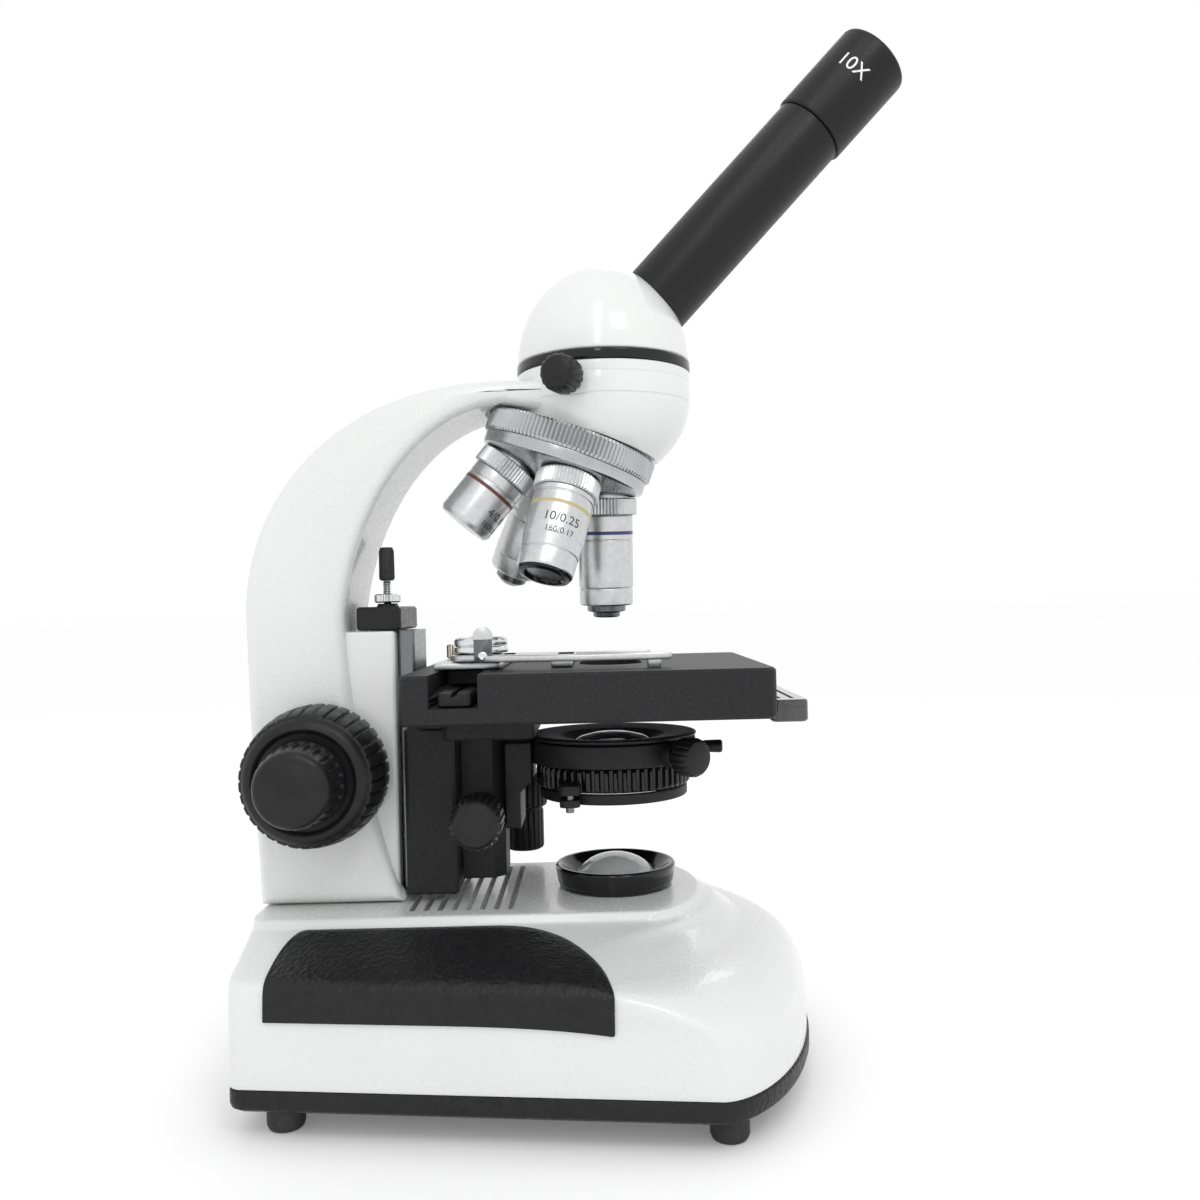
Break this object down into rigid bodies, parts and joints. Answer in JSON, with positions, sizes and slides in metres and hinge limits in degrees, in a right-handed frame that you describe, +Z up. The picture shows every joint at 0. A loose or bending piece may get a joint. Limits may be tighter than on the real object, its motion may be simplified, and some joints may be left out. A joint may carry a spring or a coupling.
{
  "type": "monocular microscope",
  "caption": "Upright student microscope: weighted base with lamp, curved arm, turret of objectives, geared stage, condenser and an inclined swivelling eyepiece tube.",
  "frame": {"origin": "centre of the bounding box at table level", "axes": "+Z up, -Y towards the user and the eyepiece, +X to the user's right"},
  "size_m": [0.1704, 0.2438, 0.3778],
  "materials": {
    "white_paint": "glossy white enamel with a fine hammered texture",
    "black_plastic": "fine grained satin",
    "black_paint": "fine wrinkle matt enamel",
    "gloss_black": "gloss",
    "foot_rubber": "matt",
    "steel": "machined",
    "chrome": "bright turned",
    "satin_aluminium": "satin blasted",
    "finger_metal": "satin",
    "brass": "nickelled, knurled",
    "lens_glass": "polished",
    "smoked_guard": "smoked translucent",
    "circuit_board": "lacquered",
    "led": "clear dome over phosphor"
  },
  "bodies": {
    "frame": {"base_housing": "white_paint", "base_plate": "black_plastic", "foot_rear_left": "foot_rubber", "foot_rear_right": "foot_rubber", "foot_front_left": "foot_rubber", "foot_front_right": "foot_rubber", "grip_pad_left": "black_plastic", "grip_pad_right": "black_plastic", "lamp_collar": "black_plastic", "field_lens": "lens_glass", "led_board": "circuit_board", "led_emitter": "led", "power_inlet": "black_plastic", "arm": "white_paint", "guide_rail": "steel", "stop_bar": "black_plastic", "stop_nut": "satin_aluminium", "head_band": "white_paint", "head_ring": "black_paint", "nosepiece_mount": "steel"},
    "rocker": {"power_switch": "black_plastic"},
    "dial": {"dimmer_dial": "black_plastic"},
    "stop": {"stop_screw": "black_plastic"},
    "head": {"head_dome": "white_paint", "head_prism": "lens_glass", "eyepiece_tube": "black_paint"},
    "ocular": {"eyepiece": "black_paint", "eye_lens": "lens_glass"},
    "head_lock": {"head_clamp_screw": "black_plastic"},
    "turret": {"nosepiece_turret": "chrome", "objective_40x": "satin_aluminium", "objective_10x": "satin_aluminium", "objective_4x": "satin_aluminium", "objective_100x": "satin_aluminium"},
    "coarse": {"coarse_knob_left": "black_plastic", "coarse_knob_right": "black_plastic", "coarse_pinion": "steel"},
    "fine": {"fine_knob_left": "black_plastic", "fine_knob_right": "black_plastic"},
    "carrier": {"focus_slide": "black_paint", "focus_rack": "steel", "stage_bracket": "black_paint", "condenser_rail": "black_paint"},
    "stage": {"stage_top": "black_paint", "x_rail": "black_paint", "stage_guard": "smoked_guard"},
    "carriage": {"x_carriage": "black_paint", "slide_holder": "satin_aluminium", "holder_screw": "brass"},
    "finger": {"clip_finger": "finger_metal"},
    "y_control": {"y_knob": "black_plastic"},
    "x_control": {"x_knob": "black_plastic"},
    "condenser": {"condenser_holder": "black_paint", "condenser_body": "gloss_black", "condenser_lens": "lens_glass"},
    "iris": {"iris_lever": "black_plastic"},
    "tray": {"filter_tray": "black_paint"},
    "condenser_lock": {"condenser_clamp_screw": "black_plastic"},
    "condenser_drive": {"condenser_knob": "black_plastic"}
  },
  "joints": [
    {"name": "head_swivel", "type": "hinge", "parent": "frame", "child": "head", "pos_m": [0, -0.00809, 0.256], "axis": [0, 0, 1], "continuous": true},
    {"name": "eyepiece_pull", "type": "slide", "parent": "head", "child": "ocular", "axis": [0, -0.6858, 0.7278], "range_m": [0, 0.02]},
    {"name": "head_lock_turn", "type": "hinge", "parent": "frame", "child": "head_lock", "pos_m": [0, -0.00809, 0.2455], "axis": [-0.9354, 0.3535, 0], "continuous": true},
    {"name": "turret_turn", "type": "hinge", "parent": "frame", "child": "turret", "pos_m": [0, -0.00809, 0.262], "axis": [0, 0.342, -0.9397], "continuous": true},
    {"name": "stage_lift", "type": "slide", "parent": "frame", "child": "carrier", "axis": [0, 0, 1], "range_m": [-0.0022, 0.0135]},
    {"name": "coarse_focus", "type": "hinge", "parent": "frame", "child": "coarse", "pos_m": [0, 0.09491, 0.11], "axis": [1, 0, 0], "range_deg": [-132, 24]},
    {"name": "fine_focus", "type": "hinge", "parent": "frame", "child": "fine", "pos_m": [0, 0.09491, 0.11], "axis": [1, 0, 0], "continuous": true},
    {"name": "stage_forward", "type": "slide", "parent": "carrier", "child": "stage", "axis": [0, -1, 0], "range_m": [0, 0.022]},
    {"name": "stage_y_knob", "type": "hinge", "parent": "stage", "child": "y_control", "pos_m": [0.046, 0.02891, 0.09], "axis": [0, 0, 1], "range_deg": [-5, 160]},
    {"name": "slide_travel", "type": "slide", "parent": "stage", "child": "carriage", "axis": [1, 0, 0], "range_m": [-0.02, 0.02]},
    {"name": "stage_x_knob", "type": "hinge", "parent": "stage", "child": "x_control", "pos_m": [0.046, 0.02891, 0.075], "axis": [0, 0, 1], "range_deg": [-145, 145]},
    {"name": "clip_swing", "type": "hinge", "parent": "carriage", "child": "finger", "pos_m": [-0.02, 0.03891, 0.149], "axis": [0, 0, 1], "range_deg": [-22, 0], "stiffness_Nm_per_rad": 0.02, "springref_deg": 8.59},
    {"name": "condenser_lift", "type": "slide", "parent": "carrier", "child": "condenser", "axis": [0, 0, 1], "range_m": [-0.013, 0.0015]},
    {"name": "condenser_focus", "type": "hinge", "parent": "carrier", "child": "condenser_drive", "pos_m": [0, 0.03891, 0.094], "axis": [1, 0, 0], "range_deg": [-15, 110]},
    {"name": "iris_turn", "type": "hinge", "parent": "condenser", "child": "iris", "pos_m": [0, -0.00809, 0.1133], "axis": [0, 0, 1], "range_deg": [-14, 30]},
    {"name": "tray_swing", "type": "hinge", "parent": "condenser", "child": "tray", "pos_m": [-0.0276, 0.00751, 0.097], "axis": [0, 0, 1], "range_deg": [-80, 0]},
    {"name": "condenser_lock_turn", "type": "hinge", "parent": "condenser", "child": "condenser_lock", "pos_m": [0, -0.00809, 0.113], "axis": [-0.766, -0.6428, 0], "continuous": true},
    {"name": "stop_turn", "type": "hinge", "parent": "frame", "child": "stop", "pos_m": [0, 0.0749, 0.16], "axis": [0, 0, 1], "continuous": true},
    {"name": "dimmer_turn", "type": "hinge", "parent": "frame", "child": "dial", "pos_m": [0.0743, -0.0221, 0.034], "axis": [0, 0, 1], "range_deg": [-135, 135]},
    {"name": "switch_rock", "type": "hinge", "parent": "frame", "child": "rocker", "pos_m": [-0.008, 0.11191, 0.032], "axis": [1, 0, 0], "range_deg": [0, 10]}
  ],
  "couplings": [
    {"joint": "coarse_focus", "follows": "stage_lift", "rad_per_m": -166.67},
    {"joint": "stage_y_knob", "follows": "stage_forward", "rad_per_m": 125},
    {"joint": "stage_x_knob", "follows": "slide_travel", "rad_per_m": 125},
    {"joint": "condenser_focus", "follows": "condenser_lift", "rad_per_m": -142.86}
  ]
}
